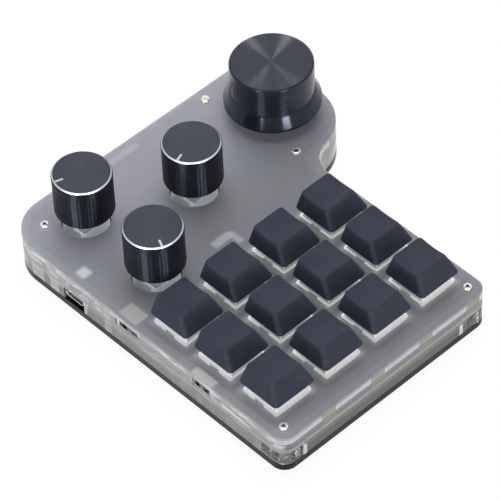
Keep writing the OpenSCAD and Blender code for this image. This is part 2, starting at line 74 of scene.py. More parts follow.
def centre_of(node):
    """The middle of a CAD node's box in millimetres."""
    low, high = box_mm(node)
    return (low + high) / 2


def loft(rings, close_first=True, close_last=True):
    """Points and faces of a skin over rings of as many points each, whose ends may be closed."""
    count = len(rings[0])
    faces = []
    for i in range(len(rings) - 1):
        a, b = i * count, (i + 1) * count
        for j in range(count):
            k = (j + 1) % count
            faces.append((a + j, a + k, b + k, b + j))
    if close_first:
        faces.append(tuple(reversed(range(count))))
    if close_last:
        last = (len(rings) - 1) * count
        faces.append(tuple(last + j for j in range(count)))
    return [p for ring in rings for p in ring], faces


def join(*parts):
    """One list of points and faces out of several."""
    points, faces = [], []
    for more_points, more_faces in parts:
        start = len(points)
        points += more_points
        faces += [tuple(start + i for i in face) for face in more_faces]
    return points, faces


def moved(part, by, turn=0.0):
    """Points and faces turned about Z by degrees and then shifted."""
    c, s = math.cos(math.radians(turn)), math.sin(math.radians(turn))
    return [(x * c - y * s + by[0], x * s + y * c + by[1], z + by[2]) for x, y, z in part[0]], part[1]


def round_ring(w, d, radius, z, at=(0.0, 0.0), *, per_corner, per_side):
    """A rounded rectangle as a ring of points, anticlockwise."""
    corners = []
    for cx, cy, start in ((1, -1, -90), (1, 1, 0), (-1, 1, 90), (-1, -1, 180)):
        corner = []
        for i in range(per_corner + 1):
            a = math.radians(start + 90 * i / per_corner)
            corner.append((at[0] + cx * (w / 2 - radius) + radius * math.cos(a),
                           at[1] + cy * (d / 2 - radius) + radius * math.sin(a), z))
        corners.append(corner)
    ring = []
    for i in range(4):
        ring += corners[i]
        a, b = corners[i][-1], corners[(i + 1) % 4][0]
        for j in range(1, per_side):
            t = j / per_side
            ring.append(tuple(a[n] + (b[n] - a[n]) * t for n in range(3)))
    return ring


def block(w, d, h, edge, radius):
    """A box with rounded upright corners and chamfered top and bottom edges, its foot at 0."""
    return loft([round_ring(w - 2 * inset, d - 2 * inset, radius + edge - inset, z, per_corner=3, per_side=1)
                 for inset, z in ((edge, 0.0), (0.0, edge), (0.0, h - edge), (edge, h))])


def turned(profile, count, at, close_first=False, close_last=False, dent=None):
    """A form turned about Z: the profile lists radius and height, and dent(angle, height, radius) sinks the surface."""
    rings = []
    for radius, z in profile:
        ring = []
        for j in range(count):
            a = math.tau * j / count
            r = radius - (dent(a, z, radius) if dent else 0.0)
            ring.append((at[0] + r * math.cos(a), at[1] + r * math.sin(a), at[2] + z))
        rings.append(ring)
    return loft(rings, close_first, close_last)


def arc(cx, cz, radius, start, end, steps):
    """Points of an arc in a profile, angles in degrees."""
    angles = [math.radians(start + (end - start) * i / steps) for i in range(steps + 1)]
    return [(cx + radius * math.cos(a), cz + radius * math.sin(a)) for a in angles]


# Places of the case in millimetres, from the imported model: x to the right, y to the back, z up.
# LOBE_REACH is how far the lobe reaches past the key block, LOBE_START how far it starts behind the first row of keys,
# the corners are radii, and WALL is how wide the clear frames' wall is at the edge
LOW, HIGH = box_mm("top_plate")
DECK = HIGH.z
BOTTOM, BOARD = box_mm("bottom_plate")[1].z, box_mm("circuit_board")[0].z
KEY_X, KEY_Y = 21.5, 20.5
FIRST_KEY = centre_of("key_stem_1").xy
SWITCH_HALF = 7.3
LOBE_REACH, LOBE_START = 25.0, 25.3
FRONT_CORNER, BACK_CORNER, LOBE_CORNER = 5.0, 14.7, 17.0
WALL = 3.1
POWER_Y, MODE_Y, SLIDE_Z = centre_of("power_slider").y, centre_of("mode_slider").y, centre_of("power_slider").z
SCREWS = ((LOW.x + 9.8, HIGH.y - 9.8), (HIGH.x - LOBE_REACH - 25.0, HIGH.y - 4.9), (HIGH.x - 6.6, HIGH.y - 6.6),
          (HIGH.x - LOBE_REACH - 0.8, FIRST_KEY.y + LOBE_START + 4.5), (HIGH.x - LOBE_REACH - 4.9, LOW.y + 4.9),
          (LOW.x + 4.9, LOW.y + 4.9))

# Pale bars painted on the front edge, one for each key column, a painted refraction of its white switches: how far left
# of its column each lies, and half its width.
# Two bright bars painted beside the front corners as painted highlights: the middle between them, and how far out from
# it each stands
BAR_SHIFT, BAR_HALF = 4.6, 7.3
BARS_MIDDLE, BARS_OUT = -14.25, 34.9
# The X of a normal that faces left, and where that ends
LEFT_FACING = (-0.8, -0.5)
# Width of the broad play of colour that lies under each fine grain
BROAD_PLAY = 9.0


# Materials

def linear(hex_colour):
    """An sRGB hex colour as linear red, green, blue and alpha."""
    out = []
    for i in (0, 2, 4):
        c = int(hex_colour[i:i + 2], 16) / 255
        out.append(c / 12.92 if c <= 0.04045 else ((c + 0.055) / 1.055) ** 2.4)
    return (*out, 1.0)


def feed(node, key, source):
    """Links a socket, or a node's first output in use, to one of a node's inputs."""
    if isinstance(source, bpy.types.Node):
        source = next(out for out in source.outputs if out.enabled)
    node.id_data.links.new(source, node.inputs[key])


def add(mat, kind, inputs=(), **settings):
    """Adds a shader node with its settings; inputs, in order or by key, are values or what feeds them."""
    node = mat.node_tree.nodes.new("ShaderNode" + kind)
    for key, value in settings.items():
        setattr(node, key, value)
    for key, value in inputs.items() if isinstance(inputs, dict) else enumerate(inputs):
        if isinstance(value, (bpy.types.Node, bpy.types.NodeSocket)):
            feed(node, key, value)
        else:
            node.inputs[key].default_value = value
    return node


def finish_of(name, colour, roughness, metallic=0.0, ior=1.5, **sockets):
    """A new material with its surface shader, whose further sockets may be given."""
    mat = bpy.data.materials.new(name)
    mat.use_nodes = True
    mat.node_tree.nodes.clear()
    values = {"Base Color": linear(colour), "Roughness": roughness, "Metallic": metallic}
    if not metallic:
        values["IOR"] = ior
    values.update({key.replace("_", " "): value for key, value in sockets.items()})
    shader = add(mat, "BsdfPrincipled", values)
    add(mat, "OutputMaterial", (shader,))
    return mat, shader


def cloud(mat, where, size_mm, stretch=(1, 1, 1), detail=2.0):
    """Noise whose blots are size_mm wide, and drawn out along an axis whose stretch is under 1."""
    shape = add(mat, "Mapping", {"Vector": where, "Scale": stretch})
    return add(mat, "TexNoise", {"Vector": shape, "Scale": 1.0 / (size_mm * MM), "Detail": detail})


def grain(mat, shader, spacing_mm, depth_mm, colours=None, rough=None, stretch=(1, 1, 1)):
    """A fine uneven surface whose grain is spacing_mm wide: bump, and where given a play of colour and roughness."""
    where = add(mat, "TexCoord").outputs["Object"]
    fine = cloud(mat, where, spacing_mm, stretch, 3.0)
    feed(shader, "Normal", add(mat, "Bump", {"Height": fine, "Strength": 1.0, "Distance": depth_mm * MM}))
    if colours:
        both = add(mat, "Math", (fine, cloud(mat, where, BROAD_PLAY)), operation="ADD")
        share = add(mat, "MapRange", (both, 0.7, 1.3))
        dark, pale = (linear(colour) for colour in colours)
        feed(shader, "Base Color", add(mat, "Mix", {0: share, 6: dark, 7: pale}, data_type="RGBA"))
    if rough:
        feed(shader, "Roughness", add(mat, "MapRange", (fine, 0.3, 0.7, *rough)))


def lay(mat, under, over, value, full, none, top=1.0, within=None):
    """A colour laid over another: by top where value is at full, fading out to none, and only within a share."""
    under, over = (linear(one) if isinstance(one, str) else one for one in (under, over))
    share = add(mat, "MapRange", (value, full, none, top, 0.0), interpolation_type="SMOOTHSTEP")
    if within:
        share = add(mat, "Math", (share, within), operation="MULTIPLY")
    return add(mat, "Mix", {0: share, 6: under, 7: over}, data_type="RGBA")


def limited(mat, share, limits):
    """A share kept only where each of several values is at full, and fading out to none."""
    for value, full, none in limits:
        kept = add(mat, "MapRange", (value, full, none, 1.0, 0.0), interpolation_type="SMOOTHSTEP")
        share = add(mat, "Math", (share, kept), operation="MULTIPLY")
    return share


def near_box(mat, x, y, at, half, soft, top=1.0):
    """A share that is top inside a rectangle in millimetres and fades out over soft round it, with round corners."""
    squares = []
    for value, middle, reach in ((x, at[0], half[0]), (y, at[1], half[1])):
        off = add(mat, "Math", (value, middle * MM), operation="SUBTRACT")
        far = add(mat, "Math", (off,), operation="ABSOLUTE")
        past = add(mat, "Math", (far, reach * MM), operation="SUBTRACT")
        past = add(mat, "Math", (past, 0.0), operation="MAXIMUM")
        squares.append(add(mat, "Math", (past, 2.0), operation="POWER"))
    total = add(mat, "Math", squares, operation="ADD")
    root = add(mat, "Math", (total, 0.5), operation="POWER")
    return add(mat, "MapRange", (root, 0.0, soft * MM, top, 0.0), interpolation_type="SMOOTHSTEP")


def shades(mat, value, stops):
    """A run of colours along a value: stops pair the value in millimetres with a colour."""
    first, last = stops[0][0], stops[-1][0]
    ramp = add(mat, "ValToRGB", (add(mat, "MapRange", (value, first * MM, last * MM)),))
    cells = ramp.color_ramp.elements
    for at, colour in stops[1:-1]:
        cells.new((at - first) / (last - first)).color = linear(colour)
    cells[0].color, cells[-1].color = linear(stops[0][1]), linear(stops[-1][1])
    return ramp


def inside(mat, where, low, high, radius):
    """How far inside a rounded rectangle in millimetres a place lies, as a negative distance."""
    centre = ((low[0] + high[0]) / 2 * MM, (low[1] + high[1]) / 2 * MM, 0)
    reach = (((high[0] - low[0]) / 2 - radius) * MM, ((high[1] - low[1]) / 2 - radius) * MM, 1.0)
    off = add(mat, "VectorMath", (where, centre), operation="SUBTRACT")
    size = add(mat, "VectorMath", (off,), operation="ABSOLUTE")
    over = add(mat, "VectorMath", (size, reach), operation="SUBTRACT")
    outer = add(mat, "VectorMath", (over, (0, 0, 0)), operation="MAXIMUM")
    length = add(mat, "VectorMath", (outer,), operation="LENGTH")
    part = add(mat, "SeparateXYZ", (over,))
    worst = add(mat, "Math", (part.outputs["X"], part.outputs["Y"]), operation="MAXIMUM")
    inner = add(mat, "Math", (worst, 0.0), operation="MINIMUM")
    total = add(mat, "Math", (length, inner), operation="ADD")
    return add(mat, "Math", (total, radius * MM), operation="SUBTRACT")


def from_screws(mat, where):
    """How far a place lies from the nearest screw's axis."""
    nearest = None
    for x, y in SCREWS:
        off = add(mat, "VectorMath", (where, (x * MM, y * MM, 0)), operation="SUBTRACT")
        flat = add(mat, "VectorMath", (off, (1, 1, 0)), operation="MULTIPLY")
        far = add(mat, "VectorMath", (flat,), operation="LENGTH")
        nearest = add(mat, "Math", (nearest, far), operation="MINIMUM") if nearest else far
    return nearest


def from_painted_bar(mat, x):
    """How far along X a place lies from the middle of the pale bar painted on the front edge for each key column, a
    painted refraction of its switches.
    """
    moved_on = add(mat, "Math", (x, (BAR_SHIFT - FIRST_KEY.x + KEY_X / 2) * MM), operation="ADD")
    step = add(mat, "Math", (moved_on, KEY_X * MM), operation="FLOORED_MODULO")
    return add(mat, "Math", (step, KEY_X / 2 * MM), operation="SUBTRACT")


# Key caps: moulded PBT, matt with a very fine spark-eroded texture of 0.16 mm grain
cap_pbt, s = finish_of("cap_moulded_pbt", "41444e", 0.5, Specular_IOR_Level=0.05)
grain(cap_pbt, s, 0.16, 0.012, ("3f4250", "474b59"), (0.46, 0.6))

# Large knob's top: aluminium turned in fine rings and anodised black, which draws highlights out into fans.
# The rings are too fine to draw one by one, so a tangent round the knob's own axis stands for them all
knob_top, s = finish_of("knob_turned_black_anodised", "4a4d58", 0.2, 1.0, Anisotropic=1.0,
                        Anisotropic_Rotation=0.25)
feed(s, "Tangent", add(knob_top, "Tangent", direction_type="RADIAL", axis="Z"))
play = cloud(knob_top, add(knob_top, "TexCoord").outputs["Object"], 1.2, detail=4.0)
feed(s, "Base Color", add(knob_top, "Mix", {0: play, 6: linear("43464f"), 7: linear("4a4d57")}, data_type="RGBA"))

# Small knobs' tops: the same black, brushed more evenly
small_top, s = finish_of("small_knob_black_anodised", "474954", 0.3, 1.0, Anisotropic=0.3,
                         Anisotropic_Rotation=0.25)
feed(s, "Tangent", add(small_top, "Tangent", direction_type="RADIAL", axis="Z"))
grain(small_top, s, 0.8, 0.001, ("444652", "4a4c57"), (0.28, 0.34))

# Large knob's side: the same anodised black left glossy by the cutting tool, with a faint 0.5 mm tool mark
knob_side, s = finish_of("knob_side_black_anodised", "181b28", 0.2, Specular_IOR_Level=0.35, Anisotropic=0.75,
                         Anisotropic_Rotation=0.25, Specular_Tint=linear("c2c8e0"))
feed(s, "Tangent", add(knob_side, "Tangent", direction_type="RADIAL", axis="Z"))
grain(knob_side, s, 0.5, 0.001, ("20232f", "282b37"), (0.15, 0.21), stretch=(1, 1, 0.15))

# Small knobs' sides: the same black brushed upright along the flutes, which draws each lamp down into a column
small_side, s = finish_of("small_knob_side_black_anodised", "1b1d26", 0.4, Specular_IOR_Level=0.2, Anisotropic=1.0,
                          Anisotropic_Rotation=0.25, Specular_Tint=linear("ccd2e6"))
feed(s, "Tangent", add(small_side, "Tangent", direction_type="RADIAL", axis="Z"))
grain(small_side, s, 0.5, 0.001, ("191b23", "1f212a"), (0.37, 0.43), stretch=(1, 1, 0.15))

# Cut rim: bare aluminium where the chamfer is cut through the black
knob_rim, s = finish_of("knob_rim_bare_aluminium", "b9bcc3", 0.34, 1.0)
grain(knob_rim, s, 0.3, 0.004, None, (0.3, 0.4), stretch=(1, 1, 0.3))

# Pointer line: white enamel in a shallow groove
pointer_white, s = finish_of("pointer_white_enamel", "e2e3e7", 0.4)
grain(pointer_white, s, 0.2, 0.01, ("dcdde1", "e8e9ec"))

# Case sheets: cast acrylic. The top sheet is frosted, the frames are clear, the bottom sheet is smoked.
# The frosted sheet scatters light within; besides that, it is given a small painted glow by emission, and what lies
# close under it is painted on as soft pale patches
frosted, s = finish_of("case_frosted_acrylic", "8e9097", 0.42, ior=1.49, Subsurface_Weight=0.6,
                       Subsurface_Scale=4 * MM, Subsurface_Radius=(1.0, 1.0, 1.0), Emission_Strength=0.22)
grain(frosted, s, 0.35, 0.006, None, (0.38, 0.48))
place = add(frosted, "TexCoord")
where = place.outputs["Object"]
x, y, z = add(frosted, "SeparateXYZ", (where,)).outputs
facing = add(frosted, "SeparateXYZ", (place.outputs["Normal"],)).outputs

# its tone is painted paler at the back, a painted sheen of the back lamp, and paler at the left, painted light, and it
# is clouded at random
tone = lay(frosted, "74767c", "9495a0", y, 58 * MM, 6 * MM)
tone = lay(frosted, tone, "a0a2ab", x, -60 * MM, -36 * MM, 0.3)
tone = lay(frosted, tone, "7a7b7f", cloud(frosted, where, 14.0, detail=3.0), 0.7, 0.35, 0.2)

# painted glow: a pale halo is painted round each white switch, as light from the white housing on the sheet
in_cell = []
for value, pitch, low in ((x, KEY_X, FIRST_KEY.x - KEY_X / 2), (y, KEY_Y, FIRST_KEY.y - 2.5 * KEY_Y)):
    from_low = add(frosted, "Math", (value, low * MM), operation="SUBTRACT")
    in_cell.append(add(frosted, "Math", (from_low, pitch * MM), operation="FLOORED_MODULO"))
on_keys = near_box(frosted, x, y, (FIRST_KEY.x + 1.5 * KEY_X, FIRST_KEY.y - KEY_Y), (2 * KEY_X, 1.5 * KEY_Y), 0.2)
painted_switch_glow = near_box(frosted, *in_cell, (KEY_X / 2, KEY_Y / 2), (SWITCH_HALF, SWITCH_HALF), 3.0, 0.55)
painted_switch_glow = add(frosted, "Math", (painted_switch_glow, on_keys), operation="MULTIPLY")
tone = add(frosted, "Mix", {0: painted_switch_glow, 6: tone, 7: linear("c3c4c2")}, data_type="RGBA")

# painted light: the clear frame's wall under the sheet is painted on as a paler band along the edge, with a thin dark
# line at its inner side
block_x, lobe_y = HIGH.x - LOBE_REACH, FIRST_KEY.y + LOBE_START
block_depth = inside(frosted, where, (LOW.x, LOW.y), (block_x, 40.0), FRONT_CORNER)
back_depth = inside(frosted, where, (LOW.x, -20.0), (block_x, HIGH.y), BACK_CORNER)
lobe_depth = inside(frosted, where, (20.0, lobe_y), (HIGH.x, HIGH.y), LOBE_CORNER)
depth = add(frosted, "Math", (block_depth, back_depth), operation="MINIMUM")
depth = add(frosted, "Math", (depth, lobe_depth, 16 * MM), operation="SMOOTH_MIN")
tone = lay(frosted, tone, "c4c5c9", depth, (0.4 - WALL) * MM, (-0.4 - WALL) * MM, 0.07)
line = add(frosted, "Math", (depth, WALL * MM), operation="ADD")
line = add(frosted, "Math", (line,), operation="ABSOLUTE")
tone = lay(frosted, tone, "4c4d52", line, 0.1 * MM, 0.45 * MM, 0.08)

# painted light: pale patches over the lamp, the back edge, the module's two arms and the two slide switches stand in
# for light showing through the sheet:
# each has its centre, half its size, how softly it ends, its colour and its share
for at, half, soft, colour, top in (
        ((-53.6, 31.5), (1.1, 1.1), 1.9, "cfd1d6", 0.95), ((-8.5, 62.2), (5.5, 0.4), 1.6, "babac2", 0.5),
        ((-12.2, 10.2), (3.3, 0.8), 1.5, "aeafb5", 0.75), ((-8.3, 7.9), (0.5, 2.2), 1.4, "aeafb5", 0.65),
        ((-54.4, POWER_Y + 1.6), (2.2, 3.4), 1.4, "bcb8b8", 0.75),
        ((-56.7, MODE_Y), (0.9, 4.2), 1.2, "c4c3c2", 0.75)):
    patch = near_box(frosted, x, y, at, half, soft, top)
    tone = add(frosted, "Mix", {0: patch, 6: tone, 7: linear(colour)}, data_type="RGBA")

# its sawn edges, painted: pale bars under the keys at the front are a painted refraction of the white switches with
# painted highlights at their ends, drawn-out pale blots at the left are painted reflections on a side painted paler as
# it is lit more, and the face's tone lies at the top arris
off = from_painted_bar(frosted, x)
far = add(frosted, "Math", (off,), operation="ABSOLUTE")
edge_tone = lay(frosted, "9b9b8a", "cacad0", far, BAR_HALF * MM, (BAR_HALF + 0.5) * MM)
bar_end = add(frosted, "Math", (off, (BAR_HALF + 0.2) * MM), operation="ADD")
bar_end = add(frosted, "Math", (bar_end,), operation="ABSOLUTE")
edge_tone = lay(frosted, edge_tone, "dededc", bar_end, 0.15 * MM, 0.5 * MM, 0.8)
side_tone = lay(frosted, "a8a9ac", "dadadd", cloud(frosted, where, 2.2, (0.3, 0.3, 1.0)), 0.6, 0.45)
edge_tone = lay(frosted, edge_tone, side_tone, facing["X"], *LEFT_FACING)
edge_tone = lay(frosted, edge_tone, tone, z, (DECK - 0.2) * MM, (DECK - 1.9) * MM, 0.8)
upright = add(frosted, "Math", (facing["Z"],), operation="ABSOLUTE")
tone = lay(frosted, tone, edge_tone, upright, 0.2, 0.8)
feed(s, "Base Color", tone)
# the same tone feeds the sheet's emission, its painted glow
feed(s, "Emission Color", tone)

# Clear frames: each height of a wall is painted with the colours of what stands behind it, a painted view through the
# glass with its shade; near the screws the wall is seen through
clear, s = finish_of("case_clear_acrylic", "8a898f", 0.06, ior=1.49)
place = add(clear, "TexCoord")
where = place.outputs["Object"]
x, y, z = add(clear, "SeparateXYZ", (where,)).outputs
facing = add(clear, "SeparateXYZ", (place.outputs["Normal"],)).outputs
to_back = add(clear, "MapRange", (y, 20 * MM, 8 * MM, 1.0, 0.0), interpolation_type="SMOOTHSTEP")
front_tone = shades(clear, z, ((BOTTOM, "5f5d68"), (BOTTOM + 3, "626168"), (BOARD - 1.6, "7b7b76"), (BOARD, "8f9085"),
                               (BOARD + 2, "86858b"), (DECK - 3, "9b99a2")))
# painted light: the walls further back are painted paler, as lit more
front_tone = lay(clear, front_tone, "b2b2b6", y, 20 * MM, 8 * MM)
# painted refraction: pale bars above the board, one for each key column, stand in for the white switches seen through
# the wall
far = add(clear, "Math", (from_painted_bar(clear, x),), operation="ABSOLUTE")
above = add(clear, "MapRange", (z, (BOARD + 1) * MM, (BOARD - 1) * MM, 1.0, 0.0), interpolation_type="SMOOTHSTEP")
front_tone = lay(clear, front_tone, "a0a18c", far, (BAR_HALF + 0.5) * MM, BAR_HALF * MM, 0.7, above)
# painted light: the left-facing walls are painted paler as lit more, with pale blots of painted reflection towards the
# back, greenish blots, and pale streaks above the board
side_tone = shades(clear, z, ((BOTTOM, "838289"), (BOARD - 1, "969696"), (BOARD + 1.6, "a6a6a2"), (DECK - 3, "b4b4b4")))
blocks = cloud(clear, where, 6.5, (1.0, 1.0, 0.12), 1.0)
side_tone = lay(clear, side_tone, "dedde3", blocks, 0.56, 0.52, 0.75, to_back)
side_tone = lay(clear, side_tone, "a4aa9e", blocks, 0.4, 0.46, 0.4)
above = add(clear, "MapRange", (z, (BOARD + 1) * MM, (BOARD - 1.5) * MM, 1.0, 0.0), interpolation_type="SMOOTHSTEP")
side_tone = lay(clear, side_tone, "efefec", cloud(clear, where, 2.4, (0.35, 0.35, 1.0)), 0.62, 0.5, 1.0, above)
tone = lay(clear, front_tone, side_tone, facing["X"], *LEFT_FACING)
tone = lay(clear, tone, "5a5a5c", cloud(clear, where, 0.8, (0.01, 0.01, 1.0), 1.0), 0.42, 0.6, 0.24)

# painted highlights: two bright upright bars are painted beside the front corners, over half the height of the wall
out = add(clear, "Math", (x, -BARS_MIDDLE * MM), operation="ADD")
out = add(clear, "Math", (out,), operation="ABSOLUTE")
out = add(clear, "Math", (out, BARS_OUT * MM), operation="SUBTRACT")
out = add(clear, "Math", (out,), operation="ABSOLUTE")
painted_highlight_bars = limited(clear, 1.0, ((out, 0.7 * MM, 0.9 * MM), (facing["Y"], -0.9, -0.7),
                            (z, (BOARD - 0.9) * MM, (BOARD - 0.7) * MM)))

# windows at the screws, below the board and off the painted highlight bars, each with a pale line near its foot
rim = add(clear, "Math", (z, (BOTTOM + 0.7) * MM), operation="SUBTRACT")
rim = add(clear, "Math", (rim,), operation="ABSOLUTE")
window = limited(clear, add(clear, "Math", (1.0, painted_highlight_bars), operation="SUBTRACT"),
                 ((from_screws(clear, where), 6.9 * MM, 7.5 * MM), (rim, 0.45 * MM, 0.2 * MM),
                  (z, (BOARD + 1.5) * MM, (BOARD + 1.7) * MM)))
tone = add(clear, "Mix", {0: window, 6: tone, 7: linear("b9bbc1")}, data_type="RGBA")
tone = add(clear, "Mix", {0: painted_highlight_bars, 6: tone, 7: linear("f0f0f2")}, data_type="RGBA")
feed(s, "Base Color", tone)
feed(s, "Transmission Weight", add(clear, "MapRange", (window, 0.0, 1.0, 0.04, 0.96)))

smoked, s = finish_of("case_smoked_acrylic", "1f2025", 0.3, ior=1.49, Specular_IOR_Level=0.15)
grain(smoked, s, 2.5, 0.0005, ("1c1d22", "242529"), (0.26, 0.36))

# Circuit board: glass epoxy laminate, olive at its cut edge, and its left-facing edge painted paler and greyer as
# painted light
board, s = finish_of("board_glass_epoxy", "a6a79b", 0.45, ior=1.55)
grain(board, s, 0.4, 0.01, ("9d9e92", "b0b1a6"), (0.4, 0.55))
facing = add(board, "SeparateXYZ", (add(board, "TexCoord").outputs["Normal"],)).outputs
tone = s.inputs["Base Color"].links[0].from_socket
feed(s, "Base Color", lay(board, tone, "b0b0b4", facing["X"], *LEFT_FACING, 0.6))

# Switch housings: milky nylon, moulded smooth; their upright faces are given a painted glow by emission, standing in
# for the light the nylon passes on
switch_white, s = finish_of("switch_milky_nylon", "eef0ee", 0.35, ior=1.53, Emission_Color=linear("f2f4f2"))
grain(switch_white, s, 0.6, 0.01, ("eaecea", "f4f5f4"), (0.3, 0.42))
facing = add(switch_white, "SeparateXYZ", (add(switch_white, "TexCoord").outputs["Normal"],)).outputs
feed(s, "Emission Strength",
     add(switch_white, "MapRange", (facing["Z"], 0.9, 0.3, 0.42, 0.0), interpolation_type="SMOOTHSTEP"))
stem_white, s = finish_of("stem_acetal", "d9dcda", 0.4, ior=1.48)
grain(stem_white, s, 0.5, 0.008, ("d3d6d4", "dfe1df"))

# Metals: plated steel sheet, turned shafts, copper-coloured standoffs and small machine screws
# the plated sheet is given a small painted glow by emission, which lifts its shade
plated, s = finish_of("plated_steel_sheet", "e8ebeb", 0.3, 0.15, Emission_Color=linear("dfe4e4"),
                      Emission_Strength=0.08)
grain(plated, s, 0.7, 0.01, ("e0e4e4", "f0f2f2"), (0.26, 0.36))

# the slot in which the slide switches' slider runs is painted near black on their shells, painted shade of the opening
slide_shell, s = finish_of("slide_switch_plated_sheet", "c9ccc4", 0.35, 0.6)
grain(slide_shell, s, 0.7, 0.01, None, (0.3, 0.4))
place = add(slide_shell, "SeparateXYZ", (add(slide_shell, "TexCoord").outputs["Object"],)).outputs
slots = [near_box(slide_shell, place["Y"], place["Z"], (at, SLIDE_Z), (half, 1.0), 0.2)
         for at, half in ((POWER_Y, 4.5), (MODE_Y, 3.5))]
slot = add(slide_shell, "Math", slots, operation="MAXIMUM")
feed(s, "Base Color", add(slide_shell, "Mix", {0: slot, 6: linear("cdcfc8"), 7: linear("1d1e20")}, data_type="RGBA"))
feed(s, "Metallic", add(slide_shell, "MapRange", (slot, 0.0, 1.0, 0.6, 0.24)))
# the sliders' ribs are painted as pale ridges and dark grooves, painted light and shade
ribbed, s = finish_of("slider_ribbed_nylon", "77787a", 0.45)
where = add(ribbed, "TexCoord").outputs["Object"]
ribs = add(ribbed, "TexWave", {"Vector": where, "Scale": 0.33 / MM, "Distortion": 1.0}, bands_direction="Y")
ribs = ribs.outputs["Fac"]
feed(s, "Base Color", add(ribbed, "Mix", {0: ribs, 6: linear("2a2b2d"), 7: linear("a5a6a4")}, data_type="RGBA"))

# the screws' drive recess is painted dark, painted shade in a disc round each axis
screw_steel, s = finish_of("screw_nickel_plated", "e3dcd9", 0.22, 1.0)
grain(screw_steel, s, 0.25, 0.01, None, (0.2, 0.34))
near_axis = from_screws(screw_steel, add(screw_steel, "TexCoord").outputs["Object"])
feed(s, "Base Color", lay(screw_steel, "e8e0dd", "4d4847", near_axis, 0.45 * MM, 0.8 * MM, 0.9))
copper, s = finish_of("standoff_turned_copper", "dcc0b4", 0.4, 0.7)
grain(copper, s, 0.3, 0.008, ("d2b4a6", "e6ccc0"), (0.24, 0.38), stretch=(1, 1, 0.4))
shaft_metal, s = finish_of("shaft_turned_steel", "c4c6ca", 0.3, 1.0)
grain(shaft_metal, s, 0.3, 0.006, ("bcbec2", "cdcfd3"))
port_shell, s = finish_of("port_drawn_stainless", "c8cace", 0.26, 1.0)
grain(port_shell, s, 0.5, 0.006, ("bfc1c6", "d2d4d8"), (0.2, 0.34))

# Moulded parts: black nylon of sliders and sockets, encoder base, rotor, rubber feet, lamp, and the battery's foil
black_nylon, s = finish_of("black_moulded_nylon", "202126", 0.45)
grain(black_nylon, s, 0.4, 0.01, ("1c1d21", "27282e"), (0.4, 0.55))
# the encoder base is given a painted glow by emission, which lifts the shade under the knobs
encoder_base, s = finish_of("encoder_moulded_base", "dfe4e6", 0.3, Emission_Color=linear("dfe6e8"),
                            Emission_Strength=0.2)
grain(encoder_base, s, 0.4, 0.01, ("d8dee0", "e8ecee"))
rotor_ivory, s = finish_of("rotor_ivory_acetal", "e6e3d6", 0.4)
grain(rotor_ivory, s, 0.5, 0.008, ("dfdccf", "edeade"))
foot_rubber, s = finish_of("foot_moulded_rubber", "26272a", 0.8)
grain(foot_rubber, s, 0.5, 0.03, ("222326", "2c2d31"), (0.75, 0.9))
lamp_white, s = finish_of("lamp_package_white", "f2f2ee", 0.35)
grain(lamp_white, s, 0.5, 0.008, ("ecece8", "f8f8f4"))
foil, s = finish_of("battery_pouch_foil", "9fa3ab", 0.42, 1.0)
grain(foil, s, 1.4, 0.05, ("969aa2", "a8acb4"), (0.36, 0.5))


# Carried CAD nodes

def carry(node, mat, edge, film=0.0):
    """Keeps a CAD node with its own finish; edges are broken by edge, and film draws a sheet in, off its neighbours."""
    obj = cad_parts[node]
    obj.data.materials.clear()
    obj.data.materials.append(mat)
    for face in obj.data.polygons:
        face.material_index = 0
    obj.modifiers.new("weld", "WELD").merge_threshold = 0.002 * MM
    flat = obj.modifiers.new("flatten", "DECIMATE")
    flat.decimate_type = "DISSOLVE"
    flat.angle_limit = math.radians(0.5)
    if edge:
        bevel = obj.modifiers.new("edges", "BEVEL")
        bevel.width = edge * MM
        bevel.segments = 2
        bevel.limit_method = "ANGLE"
        bevel.angle_limit = math.radians(40.0)
    if film:
        shrink = obj.modifiers.new("film", "DISPLACE")
        shrink.direction = "NORMAL"
        shrink.mid_level = 0.0
        shrink.strength = -film * MM
    obj.modifiers.new("normals", "WEIGHTED_NORMAL").keep_sharp = True


# each layer's film leaves the thin air between the sheets that shows their edges as lines
for node, mat, edge in (("top_plate", frosted, 0.1), ("upper_frame", clear, 0.05), ("lower_frame", clear, 0.05)):
    carry(node, mat, edge, film=0.02)
for node, mat, edge in (
        ("bottom_plate", smoked, 0.3), ("circuit_board", board, 0.0), ("rubber_feet", foot_rubber, 0.0),
        ("standoffs", copper, 0.1), ("top_screws", screw_steel, 0.0), ("bottom_screws", screw_steel, 0.0),
        ("switch_bases", switch_white, 0.15), ("switch_covers", switch_white, 0.15),
        ("switch_springs", port_shell, 0.0), ("switch_sockets", black_nylon, 0.1),
        ("key_diodes", black_nylon, 0.1), ("encoder_bases", encoder_base, 0.15),
        ("encoder_frames", plated, 0.1), ("usb_port", port_shell, 0.06), ("slide_switch_shells", slide_shell, 0.1),
        ("power_slider", ribbed, 0.12), ("mode_slider", ribbed, 0.12), ("status_led", lamp_white, 0.1),
        ("wireless_module", plated, 0.12), ("battery", foil, 0.5), ("battery_socket", black_nylon, 0.15)):
    carry(node, mat, edge)
for k in range(1, 5):
    carry(f"encoder_rotor_{k}", rotor_ivory, 0.0)
    carry(f"encoder_shaft_{k}", shaft_metal, 0.0)
for k in range(1, 13):
    carry(f"key_stem_{k}", stem_white, 0.08)


# Key caps

CAP_TOP = (12.9, 11.9)


